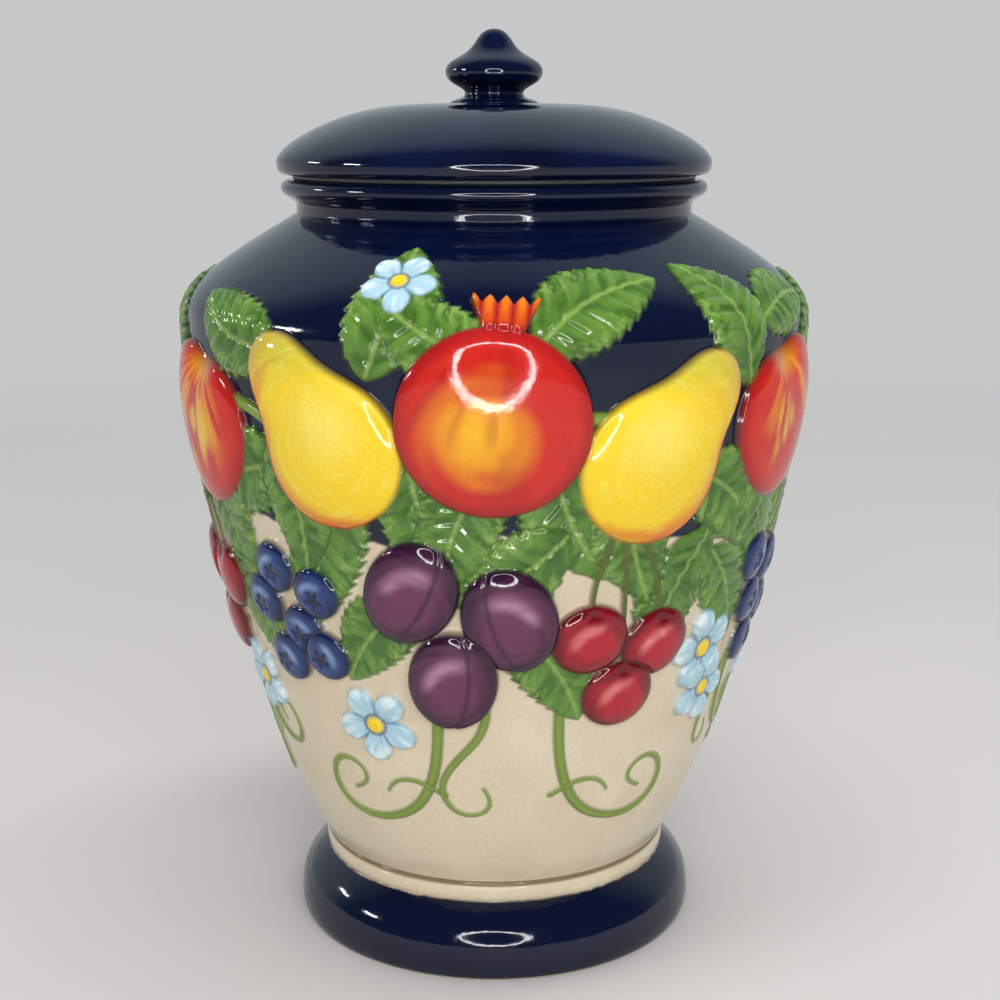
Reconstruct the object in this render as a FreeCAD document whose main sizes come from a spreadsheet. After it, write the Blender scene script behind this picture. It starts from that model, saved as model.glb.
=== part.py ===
import FreeCAD, Part
import os
import Sketcher

# Lidded stoneware biscuit jar, in millimetres.
# It stands on z = 0 with its axis on z, and +x is to the right of the front.
# Radii are measured from the axis and heights from the table.
SIZES = {
    # Spreading foot, open underneath
    "foot_contact_radius": 59.5,
    "foot_radius": 61.4,
    "foot_swell_low": 1.4,
    "foot_swell_high": 9.4,
    "foot_brow_radius": 59.0,
    "foot_brow_drop": 5.2,
    "foot_height": 20.8,
    "recess_radius": 53.0,
    "recess_depth": 14.0,
    "recess_taper": 4.0,
    "recess_round": 3.0,
    # Plain band between foot and belly, and the line scored above it
    "waist_radius": 52.2,
    "band_bulge": 0.9,
    "band_height": 5.4,
    "score_depth": 0.9,
    "score_width": 1.3,
    # Belly, flaring from the waist up to the shoulder
    "heel_radius": 65.1,
    "heel_rise": 23.8,
    "belly_radius": 74.3,
    "belly_rise": 36.0,
    "flank_drop": 34.8,
    "shoulder_radius": 90.6,
    "shoulder_height": 186.0,
    # Shoulder, rounding over to a short neck. These rise from the shoulder.
    "brow_rise": 10.0,
    "slope_radius": 79.2,
    "slope_rise": 16.8,
    "neck_radius": 57.8,
    "neck_rise": 29.2,
    # Rolled rim, each height above the one before
    "neck_length": 2.0,
    "rim_radius": 62.2,
    "rim_swell_rise": 5.3,
    "rim_lip_rise": 2.3,
    "rim_round": 2.2,
    "mouth_radius": 50.8,
    "mouth_round": 1.8,
    # Wall of the jar
    "wall": 5.5,
    "shoulder_wall": 4.8,
    "floor_thickness": 6.5,
    "floor_flat_radius": 34.0,
    # Sealing ring
    "seat_gap": 0.2,
    "seal_thickness": 1.2,
    "seal_radius": 58.8,
    "seal_leg_thickness": 1.6,
    "seal_leg_height": 3.6,
    # Lid
    "flange_gap": 1.3,
    "flange_wall": 4.6,
    "flange_height": 11.0,
    "seal_groove_depth": 1.0,
    "lid_radius": 63.4,
    "lid_edge_round": 2.9,
    "lid_edge_height": 3.4,
    "lid_haunch_height": 7.5,
    "lid_curve_radius": 42.3,
    "lid_curve_height": 19.3,
    "lid_crown_radius": 24.5,
    "lid_height": 20.0,
    "lid_wall": 5.0,
    "lid_inner_spring": 4.0,
    # Knob, thrown as a turned finial
    "knob_foot_radius": 13.0,
    "knob_foot_edge": 1.1,
    "knob_neck_radius": 8.5,
    "knob_neck_height": 2.9,
    "knob_radius": 14.1,
    "knob_swell_height": 8.8,
    "knob_cap_height": 11.2,
    "knob_cap_radius": 9.8,
    "knob_hollow_height": 13.2,
    "knob_tip_radius": 5.7,
    "knob_tip_height": 16.0,
    "knob_end_radius": 3.4,
    "knob_height": 21.0,
    # Garland in low relief: half sizes of each form, and how far it stands out of the wall
    "pomegranate_half_width": 25.0,
    "pomegranate_half_length": 24.6,
    "pomegranate_rise": 5.2,
    "calyx_half_width": 7.6,
    "calyx_half_length": 7.4,
    "calyx_rise": 3.0,
    "pear_half_width": 20.2,
    "pear_half_length": 21.4,
    "pear_rise": 4.8,
    "pear_neck_half_width": 11.6,
    "pear_neck_half_length": 19.5,
    "pear_neck_rise": 4.5,
    "apple_half_width": 24.4,
    "apple_half_length": 22.0,
    "apple_rise": 4.6,
    "plum_half_width": 12.4,
    "plum_half_length": 15.4,
    "plum_rise": 4.9,
    "cherry_half_width": 10.8,
    "cherry_half_length": 10.6,
    "cherry_rise": 4.2,
    "berry_half_width": 7.6,
    "berry_half_length": 7.6,
    "berry_rise": 3.5,
}

# Heights that stack on one another
HEIGHTS = {
    "heel_height": "foot_height + band_height + heel_rise",
    "belly_height": "heel_height + belly_rise",
    "flank_height": "shoulder_height - flank_drop",
    "brow_height": "shoulder_height + brow_rise",
    "slope_height": "shoulder_height + slope_rise",
    "neck_height": "shoulder_height + neck_rise",
    "rim_root_height": "neck_height + neck_length",
    "rim_swell_height": "rim_root_height + rim_swell_rise",
    "rim_height": "rim_swell_height + rim_lip_rise",
    "ledge_height": "rim_height + seat_gap + seal_thickness",
    "crown_height": "ledge_height + lid_height",
}

# Where the garland's forms sit. Each is a bearing in degrees from the front towards +x, a place up the
# wall (0 at the heel, 1 at the shoulder, 2 at the neck) and a lean to the right in degrees.
GARLAND = {
    "pomegranate": [(0, 0.91, 6)],
    "calyx": [(2, 1.29, 6)],
    "pear": [(-27.5, 0.86, -34), (27, 0.84, 38)],
    "pear_neck": [(-34, 0.94, -38), (34, 0.92, 42)],
    "apple": [(62, 0.88, -14), (-63, 0.87, 16)],
    "plum": [(-15, 0.67, 28), (3, 0.63, -18), (-8, 0.52, 6)],
    "cherry": [(18.5, 0.59, 0), (33, 0.57, 0), (26, 0.48, 0), (-77, 0.64, 0), (-66, 0.63, 0),
               (-72, 0.54, 0)],
    "berry": [(-45, 0.68, 0), (-35, 0.65, 0), (-50, 0.62, 0), (-40, 0.58, 0), (-46, 0.52, 0),
              (-35, 0.54, 0), (61, 0.67, 0), (71, 0.65, 0), (64, 0.59, 0), (73, 0.57, 0), (67, 0.51, 0)],
}
REPEATS = 2

AXIS = "0"
TABLE = "0"
DEGREE = 3

doc = FreeCAD.newDocument("biscuit_jar")
sheet = doc.addObject("Spreadsheet::Sheet", "sizes")
for row, (alias, value) in enumerate(SIZES.items(), start=1):
    sheet.set("A%d" % row, str(value))
    sheet.setAlias("A%d" % row, alias)
for row, (alias, formula) in enumerate(HEIGHTS.items(), start=1):
    sheet.set("B%d" % row, "=" + formula)
    sheet.setAlias("B%d" % row, alias)
doc.recompute()


def named(expression):
    """Write each size's name in an expression the way the sheet is addressed."""
    words = expression.replace("(", "( ").replace(")", " )").split()
    return " ".join("sizes." + word if word in SIZES or word in HEIGHTS else word for word in words)


def new_body(label):
    """An empty body for one piece."""
    body = doc.addObject("PartDesign::Body", label)
    body.Label = label
    return body


def bind(sketch, geometry, place, point):
    """Tie one point of the sketch to a radius and a height."""
    radius, height = point
    if radius == AXIS:
        sketch.addConstraint(Sketcher.Constraint("PointOnObject", geometry, place, -2))
    else:
        start = sketch.evalExpression(named(radius))
        across = sketch.addConstraint(Sketcher.Constraint("DistanceX", -1, 1, geometry, place, start))
        sketch.setExpression("Constraints[%d]" % across, named(radius))
    if height == TABLE:
        sketch.addConstraint(Sketcher.Constraint("PointOnObject", geometry, place, -1))
    else:
        start = sketch.evalExpression(named(height))
        up = sketch.addConstraint(Sketcher.Constraint("DistanceY", -1, 1, geometry, place, start))
        sketch.setExpression("Constraints[%d]" % up, named(height))


def add_stretch(sketch, poles):
    """One stretch of an outline: a straight line for two poles, else a smooth curve pulled by them."""
    points = []
    for radius, height in poles:
        place = [float(sketch.evalExpression(named(word))) for word in (radius, height)]
        points.append(FreeCAD.Vector(place[0], place[1], 0))
    if len(points) == 2:
        return sketch.addGeometry(Part.LineSegment(points[0], points[1]))
    spans = len(points) - DEGREE
    knots = list(range(spans + 1))
    repeats = [DEGREE + 1] + [1] * (spans - 1) + [DEGREE + 1]
    curve = sketch.addGeometry(Part.BSplineCurve(points, repeats, knots, False, DEGREE, None, False))
    first_handle = sketch.GeometryCount
    sketch.exposeInternalGeometry(curve)
    for place in range(1, len(points) - 1):
        bind(sketch, first_handle + place, 3, poles[place])
    return curve


def outline(body, name, stretches):
    """A closed half outline beside the axis. Each stretch starts where the one before it ends."""
    sketch = body.newObject("Sketcher::SketchObject", name)
    plane = next(item for item in body.Origin.OriginFeatures if item.Role == "XZ_Plane")
    sketch.AttachmentSupport = [(plane, "")]
    sketch.MapMode = "FlatFace"
    pieces = [add_stretch(sketch, poles) for poles in stretches]
    for piece, after in zip(pieces, pieces[1:] + pieces[:1]):
        sketch.addConstraint(Sketcher.Constraint("Coincident", piece, 2, after, 1))
    for piece, poles in zip(pieces, stretches):
        bind(sketch, piece, 1, poles[0])
    sketch.Visibility = False
    return sketch


def turn(body, kind, name, stretches):
    """Turn an outline a full circle about the jar's axis, adding or cutting clay."""
    sketch = outline(body, name + "_outline", stretches)
    feature = body.newObject("PartDesign::" + kind, name)
    feature.Profile = sketch
    feature.ReferenceAxis = (sketch, ["V_Axis"])
    feature.Angle = 360
    return feature


HEEL = ("waist_radius", "foot_height + band_height")
SHOULDER = ("shoulder_radius", "shoulder_height")
NECK = ("neck_radius", "neck_height")
FLANK_POLES = [
    HEEL,
    ("heel_radius", "heel_height"),
    ("belly_radius", "belly_height"),
    ("shoulder_radius", "flank_height"),
    SHOULDER]
SHOULDER_POLES = [
    SHOULDER,
    ("shoulder_radius", "brow_height"),
    ("slope_radius", "slope_height"),
    NECK]


def curve_weights(count, along, slope):
    """How much each pole of a clamped cubic curve pulls on the point, or on the slope, at a share of its length."""
    spans = count - DEGREE
    repeats = [DEGREE + 1] + [1] * (spans - 1) + [DEGREE + 1]
    weights = []
    for pole in range(count):
        pull = [FreeCAD.Vector(1.0 if place == pole else 0.0, 0, 0) for place in range(count)]
        curve = Part.BSplineCurve(pull, repeats, list(range(spans + 1)), False, DEGREE, None, False)
        weights.append(curve.getDN(along * spans, 1 if slope else 0).x)
    return weights


def on_wall(up, slope=False):
    """The radius and height of a place up the wall, or its slope, as expressions of the sizes."""
    poles = FLANK_POLES if up <= 1 else SHOULDER_POLES
    weights = curve_weights(len(poles), up if up <= 1 else up - 1, slope)
    return [" + ".join("( %s ) * %.4f" % (pole[axis], weight) for pole, weight in zip(poles, weights))
            for axis in (0, 1)]


def add_boss(form, bearing, up, lean):
    """One rounded form of the garland: a flat ellipsoid sunk in the wall and square to it."""
    radius, height = on_wall(up)
    run_out, run_up = on_wall(up, slope=True)
    half_width = form + "_half_width"
    sunk = "%s * %s / 2 / ( %s )" % (half_width, half_width, radius)
    tilt = "atan2( - ( %s ) ; %s )" % (run_out, run_up)
    out = "( ( %s ) - ( %s ) * cos( %s ) )" % (radius, sunk, tilt)
    across = "%s * sin( %g deg )" % (out, bearing)
    back = "- %s * cos( %g deg )" % (out, bearing)
    above = "( %s ) - ( %s ) * sin( %s )" % (height, sunk, tilt)
    place = "create( <<vector>> ; %s ; %s ; %s )" % (across, back, above)
    turned = "create( <<rotation>> ; %g deg ; %s ; %g deg )" % (bearing + 90, tilt, lean)
    boss = doc.addObject("Part::Ellipsoid", form)
    boss.setExpression("Radius1", named(form + "_half_length"))
    boss.setExpression("Radius2", named("%s_rise + %s" % (form, sunk)))
    boss.setExpression("Radius3", named(half_width))
    boss.setExpression("Placement", named("create( <<placement>> ; %s ; %s )" % (place, turned)))
    return boss


def make_garland():
    """The fruit that stands out of the wall in low relief, repeated round the jar."""
    turns = [360 * repeat / REPEATS for repeat in range(REPEATS)]
    return [add_boss(form, bearing + turn, up, lean)
            for form, places in GARLAND.items()
            for bearing, up, lean in places
            for turn in turns]


def make_jar_body():
    """The slip-cast vessel: foot, band, belly, shoulder, neck and rolled rim in one wall."""
    form = new_body("jar_form")
    foot_edge = ("foot_contact_radius", TABLE)
    foot_top = ("waist_radius", "foot_height")
    rim_root = ("neck_radius", "rim_root_height")
    rim_swell = ("rim_radius", "rim_swell_height")
    rim_top = ("rim_radius - rim_round", "rim_height")
    turn(form, "Revolution", "outside", [
        [(AXIS, TABLE), foot_edge],
        [foot_edge,
         ("foot_radius", "foot_swell_low"),
         ("foot_radius", "foot_swell_high"),
         ("foot_brow_radius", "foot_height - foot_brow_drop"),
         foot_top],
        [foot_top,
         ("waist_radius + band_bulge", "foot_height + band_height * 0.2"),
         ("waist_radius + band_bulge", "foot_height + band_height * 0.8"),
         HEEL],
        FLANK_POLES,
        SHOULDER_POLES,
        [NECK, rim_root],
        [rim_root,
         ("neck_radius", "( rim_root_height + rim_swell_height ) / 2"),
         ("rim_radius", "( rim_root_height + rim_swell_height ) / 2"),
         rim_swell],
        [rim_swell,
         ("rim_radius", "( rim_swell_height + rim_height ) / 2"),
         ("rim_radius - rim_round / 2", "rim_height"),
         rim_top],
        [rim_top, (AXIS, "rim_height")],
        [(AXIS, "rim_height"), (AXIS, TABLE)],
    ])
    raised = doc.addObject("Part::MultiFuse", "jar_raised")
    raised.Shapes = [form] + make_garland()
    body = new_body("jar_body")
    body.BaseFeature = raised
    floor = "recess_depth + floor_thickness"
    inner_shoulder = ("shoulder_radius - wall", "shoulder_height")
    throat = ("mouth_radius", "neck_height - wall / 2")
    mouth_side = ("mouth_radius", "rim_height - mouth_round")
    mouth_top = ("mouth_radius + mouth_round", "rim_height")
    turn(body, "Groove", "cavity", [
        [(AXIS, floor), ("floor_flat_radius", floor)],
        [("floor_flat_radius", floor),
         ("waist_radius - wall", floor),
         ("heel_radius - wall", "heel_height"),
         ("belly_radius - wall", "belly_height"),
         ("shoulder_radius - wall", "flank_height"),
         inner_shoulder],
        [inner_shoulder,
         ("shoulder_radius - wall", "brow_height - shoulder_wall / 2"),
         ("slope_radius - wall / 2", "slope_height - shoulder_wall"),
         throat],
        [throat, mouth_side],
        [mouth_side,
         ("mouth_radius", "rim_height - mouth_round / 2"),
         ("mouth_radius + mouth_round / 2", "rim_height"),
         mouth_top],
        [mouth_top, (AXIS, "rim_height")],
        [(AXIS, "rim_height"), (AXIS, floor)],
    ])
    recess_side = ("recess_radius - recess_taper", "recess_depth - recess_round")
    recess_top = ("recess_radius - recess_taper - recess_round", "recess_depth")
    turn(body, "Groove", "foot_recess", [
        [(AXIS, TABLE), ("recess_radius", TABLE)],
        [("recess_radius", TABLE), recess_side],
        [recess_side,
         ("recess_radius - recess_taper", "recess_depth - recess_round / 2"),
         ("recess_radius - recess_taper - recess_round / 2", "recess_depth"),
         recess_top],
        [recess_top, (AXIS, "recess_depth")],
        [(AXIS, "recess_depth"), (AXIS, TABLE)],
    ])
    score_low = ("waist_radius + band_bulge", "foot_height + band_height - score_width / 2")
    score_high = ("waist_radius + band_bulge", "foot_height + band_height + score_width / 2")
    turn(body, "Groove", "scored_line", [
        [score_low,
         ("waist_radius - score_depth", "foot_height + band_height - score_width / 2"),
         ("waist_radius - score_depth", "foot_height + band_height + score_width / 2"),
         score_high],
        [score_high, score_low],
    ])
    return body


def make_lid():
    """The lid: a domed shell with a locating flange that drops into the mouth."""
    body = new_body("lid")
    ledge = "ledge_height"
    flange_outer = "mouth_radius - flange_gap"
    flange_inner = "mouth_radius - flange_gap - flange_wall"
    flange_end = "ledge_height - flange_height"
    crown = "crown_height"
    edge_low = ("lid_radius - lid_edge_round", ledge)
    edge_side = ("lid_radius", ledge + " + lid_edge_height")
    crown_edge = ("knob_foot_radius + knob_foot_edge", crown)
    turn(body, "Revolution", "dome", [
        [(AXIS, flange_end), (flange_outer, flange_end)],
        [(flange_outer, flange_end), (flange_outer, ledge)],
        [(flange_outer, ledge), edge_low],
        [edge_low,
         ("lid_radius - lid_edge_round / 3", ledge),
         ("lid_radius", ledge + " + lid_edge_height / 3"),
         edge_side],
        [edge_side,
         ("lid_radius", ledge + " + lid_haunch_height"),
         ("lid_curve_radius", ledge + " + lid_curve_height"),
         ("lid_crown_radius", crown),
         crown_edge],
        [crown_edge, (AXIS, crown)],
        [(AXIS, crown), (AXIS, flange_end)],
    ])
    spring = ledge + " + lid_inner_spring"
    roof = crown + " - lid_wall"
    turn(body, "Groove", "hollow", [
        [(AXIS, flange_end), (flange_inner, flange_end)],
        [(flange_inner, flange_end), (flange_inner, spring)],
        [(flange_inner, spring),
         (flange_inner, ledge + " + lid_haunch_height + lid_wall / 2"),
         ("lid_crown_radius", roof),
         (AXIS, roof)],
        [(AXIS, roof), (AXIS, flange_end)],
    ])
    groove_bottom = ledge + " - seal_leg_height"
    groove_inner = flange_outer + " - seal_groove_depth"
    turn(body, "Groove", "seal_groove", [
        [(groove_inner, groove_bottom), (flange_outer, groove_bottom)],
        [(flange_outer, groove_bottom), (flange_outer, ledge)],
        [(flange_outer, ledge), (groove_inner, ledge)],
        [(groove_inner, ledge), (groove_inner, groove_bottom)],
    ])
    return body


def make_seal_ring():
    """The soft ring in the lid's groove: a leg round the flange and a flat lip over the rim."""
    body = new_body("seal_ring")
    top = "ledge_height"
    low = "rim_height + seat_gap"
    leg_end = top + " - seal_leg_height"
    inner = "mouth_radius - flange_gap - seal_groove_depth"
    leg_outer = inner + " + seal_leg_thickness"
    turn(body, "Revolution", "ring", [
        [(inner, leg_end), (leg_outer, leg_end)],
        [(leg_outer, leg_end), (leg_outer, low)],
        [(leg_outer, low), ("seal_radius", low)],
        [("seal_radius", low), ("seal_radius", top)],
        [("seal_radius", top), (inner, top)],
        [(inner, top), (inner, leg_end)],
    ])
    return body


def make_lid_knob():
    """The finial that lifts the lid, stuck to the flat land on the lid's crown."""
    body = new_body("lid_knob")
    base = "crown_height"

    def above(size):
        return base + " + " + size

    foot_edge = ("knob_foot_radius", base)
    neck = ("knob_neck_radius", above("knob_neck_height"))
    swell = ("knob_radius", above("knob_swell_height"))
    tip = (AXIS, above("knob_height"))
    turn(body, "Revolution", "finial", [
        [(AXIS, base), foot_edge],
        [foot_edge,
         ("knob_foot_radius - knob_foot_edge", above("knob_foot_edge * 1.4")),
         ("knob_neck_radius", above("knob_foot_edge")),
         neck],
        [neck,
         ("knob_neck_radius", above("( knob_neck_height + knob_swell_height * 0.5 ) * 0.66")),
         ("knob_radius", above("knob_swell_height * 0.58")),
         swell],
        [swell,
         ("knob_radius", above("knob_cap_height")),
         ("knob_cap_radius", above("knob_hollow_height")),
         ("knob_tip_radius", above("knob_tip_height")),
         ("knob_end_radius", above("knob_height")),
         tip],
        [tip, (AXIS, base)],
    ])
    return body


def check(parts):
    """Stop if any object failed to build or any piece isn't one valid solid."""
    for item in doc.Objects:
        if "Invalid" in item.State or "Error" in item.State:
            raise RuntimeError("%s is %s" % (item.Label, item.State))
    for part in parts:
        shape = part.Shape
        if shape.isNull() or not shape.isValid() or len(shape.Solids) != 1:
            raise RuntimeError("%s has a bad shape" % part.Label)


parts = [make_jar_body(), make_lid(), make_seal_ring(), make_lid_knob()]
doc.recompute()
check(parts)
os.makedirs("parts", exist_ok=True)
for part in parts:
    part.Shape.exportStep("parts/%s.step" % part.Label)
    print(part.Label, "%.0f mm3" % part.Shape.Volume)
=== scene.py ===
import math

import bpy
import numpy as np
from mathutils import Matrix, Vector


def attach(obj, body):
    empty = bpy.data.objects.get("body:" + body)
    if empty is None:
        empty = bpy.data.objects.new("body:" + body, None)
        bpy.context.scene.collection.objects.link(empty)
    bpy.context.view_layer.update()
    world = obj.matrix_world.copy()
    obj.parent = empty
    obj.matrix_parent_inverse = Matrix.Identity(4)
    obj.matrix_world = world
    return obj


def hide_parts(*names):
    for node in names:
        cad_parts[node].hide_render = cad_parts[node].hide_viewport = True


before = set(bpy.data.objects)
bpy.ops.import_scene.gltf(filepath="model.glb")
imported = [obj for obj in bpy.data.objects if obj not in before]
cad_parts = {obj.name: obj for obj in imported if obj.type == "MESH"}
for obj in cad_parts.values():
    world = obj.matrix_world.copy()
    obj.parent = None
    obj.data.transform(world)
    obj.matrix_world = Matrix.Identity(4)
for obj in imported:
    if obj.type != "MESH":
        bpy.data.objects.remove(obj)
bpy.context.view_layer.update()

# Sizes are in millimetres unless a comment says otherwise, and meshes are made in metres.
MM = 0.001

# Foot, open underneath
FOOT_CONTACT_RADIUS = 59.5
FOOT_RADIUS = 61.4
FOOT_SWELL_LOW = 1.4
FOOT_SWELL_HIGH = 9.4
FOOT_BROW_RADIUS = 59.0
FOOT_BROW_DROP = 5.2
FOOT_HEIGHT = 20.8
RECESS_RADIUS = 53.0
RECESS_TAPER = 4.0
RECESS_DEPTH = 14.0
RECESS_ROUND = 3.0

# Plain band between foot and belly, and the line scored above it
WAIST_RADIUS = 52.2
BAND_BULGE = 0.9
BAND_HEIGHT = 5.4
SCORE_DEPTH = 0.9
SCORE_WIDTH = 1.3
SCORE_HEIGHT = FOOT_HEIGHT + BAND_HEIGHT

# Belly and shoulder
HEEL_RADIUS = 65.1
HEEL_HEIGHT = SCORE_HEIGHT + 23.8
BELLY_RADIUS = 74.3
BELLY_HEIGHT = HEEL_HEIGHT + 36.0
SHOULDER_RADIUS = 90.6
SHOULDER_HEIGHT = 186.0
FLANK_HEIGHT = SHOULDER_HEIGHT - 34.8
BROW_HEIGHT = SHOULDER_HEIGHT + 10.0
SLOPE_RADIUS = 79.2
SLOPE_HEIGHT = SHOULDER_HEIGHT + 16.8

# Neck, rolled rim and mouth
NECK_RADIUS = 57.8
NECK_HEIGHT = SHOULDER_HEIGHT + 29.2
RIM_ROOT_HEIGHT = NECK_HEIGHT + 2.0
RIM_RADIUS = 62.2
RIM_SWELL_HEIGHT = RIM_ROOT_HEIGHT + 5.3
RIM_HEIGHT = RIM_SWELL_HEIGHT + 2.3
RIM_ROUND = 2.2
MOUTH_RADIUS = 50.8
MOUTH_ROUND = 1.8

# Wall and floor
WALL = 5.5
SHOULDER_WALL = 4.8
FLOOR_HEIGHT = RECESS_DEPTH + 6.5
FLOOR_FLAT_RADIUS = 34.0

# Sealing ring
SEAT_GAP = 0.2
SEAL_THICKNESS = 1.2
SEAL_RADIUS = 58.8
SEAL_LEG_THICKNESS = 1.6
SEAL_LEG_HEIGHT = 3.6
SEAL_GROOVE_DEPTH = 1.0
SEAL_EASE = 0.35

# Lid. Its edge, curve and spring are heights above the ledge that rests on the ring.
LEDGE = RIM_HEIGHT + SEAT_GAP + SEAL_THICKNESS
FLANGE_RADIUS = MOUTH_RADIUS - 1.3
FLANGE_WALL = 4.6
FLANGE_HEIGHT = 11.0
LID_RADIUS = 63.4
LID_EDGE_ROUND = 2.9
LID_EDGE_HEIGHT = 3.4
LID_EDGE_PULL_IN = 0.97
LID_EDGE_PULL_UP = 1.13
LID_HAUNCH_HEIGHT = 7.5
LID_CURVE_RADIUS = 42.3
LID_CURVE_HEIGHT = 19.3
LID_CROWN_RADIUS = 24.5
LID_HEIGHT = 20.0
LID_WALL = 5.0
LID_INNER_SPRING = 4.0
CROWN = LEDGE + LID_HEIGHT

# Knob, with heights above the crown
KNOB_FOOT_RADIUS = 13.0
KNOB_FOOT_EDGE = 1.1
KNOB_FOOT_HEIGHT = 1.54
KNOB_NECK_RADIUS = 8.5
KNOB_NECK_HEIGHT = 2.9
KNOB_FLARE_LOW = 4.82
KNOB_FLARE_HIGH = 5.1
KNOB_RADIUS = 14.1
KNOB_SWELL_HEIGHT = 8.8
KNOB_CAP_RADIUS = 9.8
KNOB_CAP_HEIGHT = 11.2
KNOB_HOLLOW_HEIGHT = 13.2
KNOB_TIP_RADIUS = 5.7
KNOB_TIP_HEIGHT = 16.0
KNOB_END_RADIUS = 3.4
KNOB_HEIGHT = 21.0

HEEL = (WAIST_RADIUS, SCORE_HEIGHT)
SHOULDER = (SHOULDER_RADIUS, SHOULDER_HEIGHT)
NECK = (NECK_RADIUS, NECK_HEIGHT)
FLANK_POLES = [
    HEEL,
    (HEEL_RADIUS, HEEL_HEIGHT),
    (BELLY_RADIUS, BELLY_HEIGHT),
    (SHOULDER_RADIUS, FLANK_HEIGHT),
    SHOULDER]
SHOULDER_POLES = [
    SHOULDER,
    (SHOULDER_RADIUS, BROW_HEIGHT),
    (SLOPE_RADIUS, SLOPE_HEIGHT),
    NECK]

# How finely the meshes are cut
JAR_COLUMNS = 1440
LID_COLUMNS = 288
WALL_STEP = 0.42
PLAIN_STEP = 1.6
FINE_STEP = 0.5

# The painting: where navy meets cream, how many rows of points the navy runs on over the rim, how often
# the garland repeats, and how far a motif reaches
COLOUR_LINE = 136.0
NAVY_ROWS_OVER_RIM = 8
REPEATS = 2
MOTIF_REACH = 34.0
EDGE_SOFTNESS = 0.5
NOISE_PERIOD = 96

# The setting, in metres and degrees, with the camera's lens and sensor in millimetres
FLOOR_HALF = 40.0
FLOOR_FADE = (0.25, 1.3)
CAMERA_PLACE = (0.0017, -0.507, 0.241)
CAMERA_DIP = 12.544
CAMERA_LENS = 61.2
CAMERA_SENSOR = 36.0


def srgb(red, green, blue):
    """A colour as it looks on a screen, 0 to 255, as linear light."""
    return np.array([(channel / 255.0) ** 2.2 for channel in (red, green, blue)])


NAVY = srgb(14, 25, 54)
NAVY_DEEP = srgb(8, 15, 35)
CREAM = srgb(222, 208, 182)
CREAM_WARM = srgb(208, 190, 158)
GLAZE_INSIDE = srgb(232, 224, 206)
CLAY = srgb(205, 190, 165)
STAIN = srgb(112, 92, 62)
LEAF_DARK = srgb(54, 92, 34)
LEAF_MID = srgb(96, 136, 58)
LEAF_LIGHT = srgb(150, 178, 92)
VINE = srgb(126, 150, 66)
VINE_DARK = srgb(80, 104, 40)
YELLOW = srgb(244, 208, 40)
YELLOW_PALE = srgb(250, 228, 110)
ORANGE = srgb(236, 146, 28)
BLUSH = srgb(214, 72, 34)
RED = srgb(204, 44, 36)
RED_DEEP = srgb(142, 22, 34)
CHERRY = srgb(176, 30, 48)
CHERRY_DEEP = srgb(98, 12, 28)
CHERRY_PALE = srgb(226, 132, 132)
PLUM = srgb(104, 52, 84)
PLUM_DEEP = srgb(50, 22, 48)
PLUM_PALE = srgb(176, 130, 160)
BLUE = srgb(44, 70, 126)
BLUE_DEEP = srgb(20, 32, 70)
BLUE_PALE = srgb(134, 158, 198)
PETAL = srgb(168, 206, 222)
PETAL_PALE = srgb(222, 238, 242)
PETAL_DEEP = srgb(96, 146, 182)
BROWN = srgb(96, 62, 34)
SILICONE = srgb(104, 108, 114)
FLOOR_TONE = srgb(206, 205, 203)
ROOM_TONE = srgb(197, 199, 199)


def spline(poles, steps=240):
    """Points along the clamped cubic curve that a stretch's poles pull."""
    poles = np.array(poles, float)
    spans = len(poles) - 3
    knots = np.concatenate([[0] * 3, np.arange(spans + 1), [spans] * 3]).astype(float)
    along = np.linspace(0, spans, steps)
    weights = [(knots[i] <= along) & (along < knots[i + 1]) for i in range(len(knots) - 1)]
    weights = [weight.astype(float) for weight in weights]
    weights[len(poles) - 1][-1] = 1.0
    for degree in (1, 2, 3):
        for i in range(len(knots) - 1 - degree):
            rise = knots[i + degree] - knots[i]
            fall = knots[i + degree + 1] - knots[i + 1]
            before = (along - knots[i]) / rise * weights[i] if rise else 0.0
            after = (knots[i + degree + 1] - along) / fall * weights[i + 1] if fall else 0.0
            weights[i] = before + after
    return np.array(weights[:len(poles)]).T @ poles


def travelled(points):
    """How far along a path each of its points lies."""
    return np.concatenate([[0], np.cumsum(np.hypot(*np.diff(points, axis=0).T))])


def evenly(points, step):
    """The same path with points about one step apart."""
    points = np.array(points, float)
    lengths = travelled(points)
    count = max(1, int(round(lengths[-1] / step)))
    marks = np.linspace(0, lengths[-1], count + 1)
    return np.column_stack([np.interp(marks, lengths, points[:, i]) for i in (0, 1)])


def outline(stretches):
    """Join stretches, each (poles, step), into one list of radius and height points."""
    points = []
    for poles, step in stretches:
        run = spline(poles) if len(poles) > 2 else np.array(poles, float)
        run = evenly(run, step)
        points.extend(run if not points else run[1:])
    return np.array(points)


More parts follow.
